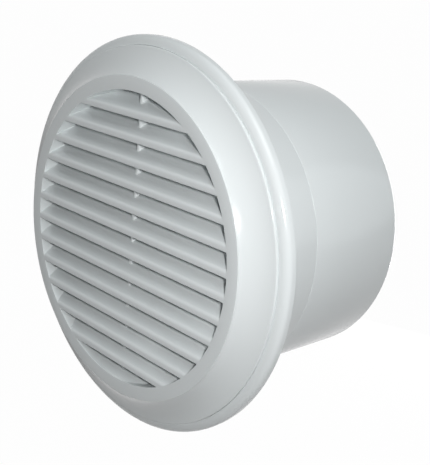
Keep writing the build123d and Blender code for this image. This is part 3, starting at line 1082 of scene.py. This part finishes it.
def wheelBlade():
    size = wheelSizes
    root, tip = size["hub"] - size["bladeBite"], size["tip"]
    front, rear = size["front"] - past, size["rear"] + past
    spread = tip * math.tan(math.radians(size["wrap"] / 2))
    narrow = size["wedgeRoot"]
    blade = bowedSheet()
    wedge = addBar("wedge", (0, front - past, -narrow), (tip, rear + past, narrow))
    selectFaces(wedge, lambda normal: normal.x > facing)
    bpy.ops.transform.resize(value=(1, 1, spread / narrow), center_override=(0, 0, 0))
    bpy.ops.transform.translate(value=(size["wedgePast"] * mm, 0, 0))
    bpy.ops.object.mode_set(mode="OBJECT")
    reach = turnPiece("reach", rounded([
        (root, front, 0), (tip, front, 0), (tip, rear, 0), (root, rear, 0),
    ]), size["tipSides"])
    combine(reach, wedge, "INTERSECT")
    combine(blade, reach, "INTERSECT")
    return softenEdges(blade, size["bladeEdges"])


def hubRib():
    size = wheelSizes
    inner = size["hub"] - size["hubWall"]
    web = size["noseFloor"] + size["hubWall"]
    half = size["ribThickness"] / 2
    rib = addBar(
        "hubRib",
        (size["boss"] - size["ribBite"], web - size["ribBite"], -half),
        (inner + size["ribEndBite"], size["bossRear"] - size["ribSetback"], half),
    )
    selectEdges(rib, lambda a, b: min(a.x, b.x) > inner and min(a.y, b.y) > web)
    bpy.ops.transform.translate(value=(0, -size["ribFall"] * mm, 0))
    bpy.ops.object.mode_set(mode="OBJECT")
    return softenEdges(rib, size["ribRounding"])


def fanWheel():
    size = wheelSizes
    inner = size["hub"] - size["hubWall"]
    web = size["noseFloor"] + size["hubWall"]
    wheel = turnPiece("fanWheel", rounded([
        (size["recess"], size["front"], size["recessRounding"]),
        (size["hub"], size["front"], size["noseRounding"]),
        (size["hub"], size["rear"], size["hubRounding"]),
        (inner, size["rear"], size["hubRounding"]),
        (inner, web, size["webFillet"]),
        (size["boss"], web, size["bossFillet"]),
        (size["boss"], size["bossRear"], size["bossRounding"]),
        (size["bore"], size["bossRear"], size["boreRounding"]),
        (size["bore"], size["noseFloor"], 0),
        (size["recess"], size["noseFloor"], size["recessFillet"]),
    ]), size["sides"])
    ribs = roundTheDuct(hubRib(), evenly(size["ribs"], size["ribStart"]))
    blades = roundTheDuct(wheelBlade(), evenly(size["blades"]))
    joinPieces(wheel, ribs + blades)
    finish = nodeFinishes["impeller"]
    finishPiece(wheel, "fanWheel", "rotating_assembly", ["impeller"], finish)


fanWheel()
print("fan wheel made")

# Motor carrier: pod, two plain arms, the terminal box as third arm, and the feet.
# A size that ends in Side is half a width.

carrierSizes = {
    "pod": 33.0,
    "podInner": 31.0,
    "podHole": 6.0,
    "podRounding": 1.4,
    "podFillet": 0.8,
    "podRimOuter": 0.5,
    "podRimInner": 0.3,
    "podEdges": 0.25,
    "front": 25.0,
    "floor": 27.0,
    "rear": 71.8,
    "sides": 160,
    "motorTurn": 45.0,
    "boltCircle": 25.6,
    "slotSide": 1.65,
    "bossSide": 3.5,
    "bossBite": 0.5,
    "bossEdges": 0.3,
    "bossRear": 29.4,
    "bearingSide": 7.0,
    "windowSide": 3.3,
    "windowLength": 4.0,
    "windowAngles": (90, 270),
    "leadFront": 57.4,
    "leadRear": 61.4,
    "leadSide": 6.5,
    "ledgeReach": 1.2,
    "ledgeLength": 3.0,
    "ledgeSide": 2.5,
    "ledgeEdges": 0.2,
    "ledgeAngles": (0, 180),
    "wallBite": 1.0,
    "armSide": 1.5,
    "armAngles": (300, 60),
    "armFront": 47.0,
    "armEnd": 50.9,
    "armEdges": 0.5,
    "padRise": 0.6,
    "padBite": 0.5,
    "padSide": 3.0,
    "padFront": 0.6,
    "padRear": 0.4,
    "padRounding": 0.5,
    "footInner": 49.1,
    "footOuter": 59.7,
    "footFront": 60.0,
    "footRear": 63.0,
    "footSide": 6.0,
    "boxOuter": 50.0,
    "boxSide": 13.0,
    "boxFront": 53.8,
    "boxRear": 66.4,
    "boxWall": 1.6,
    "boxEdges": 0.35,
    "podGap": 0.4,
    "cableSide": 3.6,
    "cableRise": 0.2,
    "capThickness": 2.0,
}


def carrierPod():
    size = carrierSizes
    turned, opposite = size["motorTurn"], size["motorTurn"] + 180
    pod = turnPiece("motorCarrier", rounded([
        (size["podHole"], size["front"], 0),
        (size["pod"], size["front"], size["podRounding"]),
        (size["pod"], size["rear"], size["podRimOuter"]),
        (size["podInner"], size["rear"], size["podRimInner"]),
        (size["podInner"], size["floor"], size["podFillet"]),
        (size["podHole"], size["floor"], 0),
    ]), size["sides"])
    bolt, slot, side = size["boltCircle"], size["slotSide"], size["bossSide"]
    boss = addBar(
        "boss",
        (bolt - side, size["floor"] - size["bossBite"], -side),
        (bolt + side, size["bossRear"], side),
    )
    front, rear = size["front"] - past, size["bossRear"] + past
    boltSlot = addBar("boltSlot", (bolt - slot, front, -slot), (bolt + slot, rear, slot))
    combine(boss, copyOf(boltSlot), "DIFFERENCE")
    side = size["bearingSide"]
    bearingHole = addBar("bearingHole", (-side, front, -side), (side, rear, side))
    inner, outer = size["podInner"], size["pod"]
    depth = size["rear"] - size["capThickness"]
    window = addBar(
        "window",
        (inner - past, depth - size["windowLength"], -size["windowSide"]),
        (outer + past, depth, size["windowSide"]),
    )
    leadHole = addBar(
        "leadHole",
        (-outer - past, size["leadFront"], -size["leadSide"]),
        (-inner + past, size["leadRear"], size["leadSide"]),
    )
    cutters = roundTheDuct(boltSlot, (turned, opposite))
    cutters += roundTheDuct(bearingHole, [turned])
    cutters += roundTheDuct(window, size["windowAngles"])
    for cutter in cutters + [leadHole]:
        combine(pod, cutter, "DIFFERENCE")
    ledge = softBar(
        "ledge",
        (inner - size["ledgeReach"], depth - size["ledgeLength"], -size["ledgeSide"]),
        (inner + size["wallBite"], depth, size["ledgeSide"]),
        size["ledgeEdges"],
    )
    bosses = roundTheDuct(softenEdges(boss, size["bossEdges"]), (turned, opposite))
    ledges = roundTheDuct(ledge, size["ledgeAngles"])
    return joinPieces(softenEdges(pod, size["podEdges"]), bosses + ledges)


def carrierArm():
    size = carrierSizes
    pod, half, side = size["pod"], size["armSide"], size["footSide"]
    front, rear = size["armFront"], size["footRear"]
    arm = addBar("arm", (pod - size["wallBite"], front, -half), (size["armEnd"], rear, half))
    foot = addBar(
        "foot",
        (size["footInner"], size["footFront"], -side),
        (size["footOuter"], rear, side),
    )
    combine(arm, foot, "UNION")
    softenEdges(arm, size["armEdges"], 3)
    return joinPieces(arm, [armPad()])


def armPad():  # a small raised pad on the pod, round the arm's root
    size = carrierSizes
    low, high = size["pod"] - size["padBite"], size["pod"] + size["padRise"]
    front, rear = size["armFront"] - size["padFront"], size["footRear"] + size["padRear"]
    pad = turnPiece("armPad", rounded([
        (low, front, 0),
        (high, front, size["padRounding"]),
        (high, rear, size["padRounding"]),
        (low, rear, 0),
    ]), size["sides"])
    side = size["padSide"]
    strip = addBar("strip", (0, front - past, -side), (high + past, rear + past, side))
    combine(pad, strip, "INTERSECT")
    return pad


def boxFoot():  # the third foot, on the end of the terminal box
    size = carrierSizes
    inner = -size["boxOuter"] + size["boxWall"] / 2
    return softBar(
        "foot",
        (-size["footOuter"], size["footFront"], -size["footSide"]),
        (inner, size["footRear"], size["footSide"]),
        size["armEdges"],
    )


def terminalBox():
    size = carrierSizes
    outer, side, wall = size["boxOuter"], size["boxSide"], size["boxWall"]
    front, rear, slot = size["boxFront"], size["boxRear"], size["cableSide"]
    inPod = -size["pod"] + size["wallBite"]
    box = addBar("terminalBox", (-outer, front, -side), (inPod, rear, side))
    inside = addBar(
        "inside",
        (-outer + wall, front + wall, -side + wall),
        (-size["pod"] - size["podGap"], rear + past, side - wall),
    )
    combine(box, inside, "DIFFERENCE")
    notch = addBar(
        "cableSlot",
        (-outer - past, size["footRear"] + size["cableRise"], -slot),
        (-outer + wall + past, rear + past, slot),
    )
    combine(box, notch, "DIFFERENCE")
    return softenEdges(box, size["boxEdges"])


def motorCarrier():
    arms = roundTheDuct(carrierArm(), carrierSizes["armAngles"])
    carrier = joinPieces(carrierPod(), arms + [boxFoot(), terminalBox()])
    finish = nodeFinishes["motor_carrier"]
    finishPiece(carrier, "motorCarrier", "housing", ["motor_carrier"], finish)


motorCarrier()
print("motor carrier made")

# Motor cap: a disc in the pod's rear end, with two legs that hook into the pod's windows

capSizes = {
    "gap": 0.15,
    "border": 3.2,
    "slopeWidth": 0.5,
    "dishDepth": 0.6,
    "dishWidth": 12.0,
    "middleRise": 0.5,
    "edges": 0.3,
    "legInner": 2.0,
    "legOuter": 0.6,
    "legSetback": 0.6,
    "legLength": 3.6,
    "legSide": 3.0,
    "legEdges": 0.2,
    "hookInner": 1.0,
    "hookOuter": 0.9,
    "hookFront": 2.2,
    "hookRear": 0.2,
    "hookBevel": 0.8,
}


def motorCap():
    size = capSizes
    inner, rear = carrierSizes["podInner"], carrierSizes["rear"]
    front = rear - carrierSizes["capThickness"]
    slope = size["slopeWidth"] * mm
    cap = addRod(inner - size["gap"], front, rear, sides=carrierSizes["sides"])
    selectFaces(cap, lambda normal: normal.y > facing)
    bpy.ops.mesh.inset(thickness=size["border"] * mm)
    bpy.ops.mesh.inset(thickness=slope, depth=-size["dishDepth"] * mm)
    bpy.ops.mesh.inset(thickness=size["dishWidth"] * mm)
    bpy.ops.mesh.inset(thickness=slope, depth=size["middleRise"] * mm)  # over the rear bearing
    bpy.ops.object.mode_set(mode="OBJECT")
    softenEdges(cap, size["edges"])
    leg = softBar(
        "capLeg",
        (inner - size["legInner"], front - size["legLength"], -size["legSide"]),
        (inner - size["legOuter"], rear - size["legSetback"], size["legSide"]),
        size["legEdges"],
    )
    hookFront = front - size["hookFront"]
    hook = addBar(
        "capHook",
        (inner - size["hookInner"], hookFront, -size["legSide"]),
        (inner + size["hookOuter"], front - size["hookRear"], size["legSide"]),
    )
    bevelEdges(
        hook,
        lambda a, b: min(a.x, b.x) > inner and max(a.y, b.y) < hookFront + near,
        size["hookBevel"],
        2,
    )
    joinPieces(cap, roundTheDuct(joinPieces(leg, [hook]), carrierSizes["windowAngles"]))
    finish = nodeFinishes["motor_carrier"]
    finishPiece(cap, "motorCap", "housing", ["motor_cap"], finish)


motorCap()
print("motor cap made")

# Box cover: a plate with a shallow dish, and lips that fit inside the terminal box

boxCoverSizes = {
    "thickness": 1.6,
    "border": 2.4,
    "slopeWidth": 0.5,
    "dishDepth": 0.4,
    "edges": 0.35,
    "lipGap": 0.1,
    "lipDepth": 2.0,
    "lipBite": 0.5,
    "lipEnd": 2.0,  # short of the pod
    "lipEdges": 0.2,
}


def boxCover():
    size, box = boxCoverSizes, carrierSizes
    outer, side, wall, rear = box["boxOuter"], box["boxSide"], box["boxWall"], box["boxRear"]
    plate = addBar(
        "boxCover",
        (-outer, rear, -side),
        (-box["pod"] - box["podGap"], rear + size["thickness"], side),
    )
    selectFaces(plate, lambda normal: normal.y > facing)
    bpy.ops.mesh.inset(thickness=size["border"] * mm)
    bpy.ops.mesh.inset(thickness=size["slopeWidth"] * mm, depth=-size["dishDepth"] * mm)
    bpy.ops.object.mode_set(mode="OBJECT")
    softenEdges(plate, size["edges"])
    lip, half = outer - wall - size["lipGap"], side - wall - size["lipGap"]
    slot, podEnd = box["cableSide"], -box["pod"] - size["lipEnd"]
    spans = [  # each lip from its low to its high end, as (x, z)
        ((-lip, -half), (-lip + wall, -slot)),
        ((-lip, slot), (-lip + wall, half)),
        ((-lip, -half), (podEnd, -half + wall)),
        ((-lip, half - wall), (podEnd, half)),
    ]
    lips = []
    for low, high in spans:
        lips.append(softBar(
            "coverLip",
            (low[0], rear - size["lipDepth"], low[1]),
            (high[0], rear + size["lipBite"], high[1]),
            size["lipEdges"],
        ))
    joinPieces(plate, lips)
    finish = nodeFinishes["motor_carrier"]
    finishPiece(plate, "boxCover", "housing", ["box_cover"], finish)


boxCover()
print("box cover made")

# Stage and lights

stageLook = {
    "floor": -0.6,
    "size": 400.0,
    "floorColour": grey(0.45),
    "floorRoughness": 0.9,
    "white": 0.985,  # share of the floor's look that is plain white, the rest is shaded
    "ambient": (0.025, 0.028, 0.028, 1),
}
softTint = (0.93, 0.985, 1)
lampLooks = {
    "key": {"place": (0.285, -0.20, 0.117), "size": 0.03, "power": 0.80, "colour": (1, 1, 1)},
    "top": {"place": (0.0, 0.1, 1.5), "size": 1.2, "power": 2.8, "colour": softTint},
    "side": {"place": (0.7, -0.5, 1.2), "size": 0.8, "power": 4.8, "colour": softTint},
    "rear": {"place": (1.0, 1.0, 0.4), "size": 1.2, "power": 2.0, "colour": softTint},
    "back": {"place": (-0.55, 1.45, -0.4), "size": 0.7, "power": 17, "colour": (1, 1, 1)},
}


def addLamp(name, place, size, power, colour):  # faces the middle of the flange
    turn = Vector(place).to_track_quat("Z", "Y").to_euler()
    bpy.ops.object.light_add(type="AREA", location=place, rotation=turn)
    lamp = bpy.context.object
    lamp.name = name
    lamp.data.shape = "DISK"
    lamp.data.size = size
    lamp.data.energy = power
    lamp.data.color = colour


def addFloor():
    deselectAll()
    bpy.ops.mesh.primitive_plane_add(size=stageLook["size"], location=(0, 0, stageLook["floor"]))
    floor = bpy.context.object
    floor.name = "studioFloor"
    finish = Finish("studioFloor")
    finish.put(Base_Color=stageLook["floorColour"], Roughness=stageLook["floorRoughness"])
    glow = finish.add("ShaderNodeEmission", {}, {"Color": grey(1.0), "Strength": 1.0})
    shaded = Signal(finish, finish.surface.outputs[0])
    factor = finish.whiteRays() * stageLook["white"]
    mixed = finish.add("ShaderNodeMixShader", {}, {0: factor, 1: shaded, 2: glow})
    finish.feed(finish.tree.nodes["Material Output"].inputs["Surface"], mixed)
    floor.data.materials.append(finish.material)


def setWorld():
    world = bpy.data.worlds.new("studio")
    world.use_nodes = True
    bpy.context.scene.world = world
    sky = NodeSet(world.node_tree)
    soft = sky.add("ShaderNodeBackground", {}, {"Color": stageLook["ambient"]})
    white = sky.add("ShaderNodeBackground", {}, {"Color": grey(1.0)})
    mixed = sky.add("ShaderNodeMixShader", {}, {0: sky.whiteRays(), 1: soft, 2: white})
    sky.feed(world.node_tree.nodes["World Output"].inputs["Surface"], mixed)


for name, look in lampLooks.items():
    addLamp(name, **look)
addFloor()
setWorld()
bpy.context.scene.view_settings.view_transform = "Standard"
print("stage lit")

bpy.context.view_layer.update()
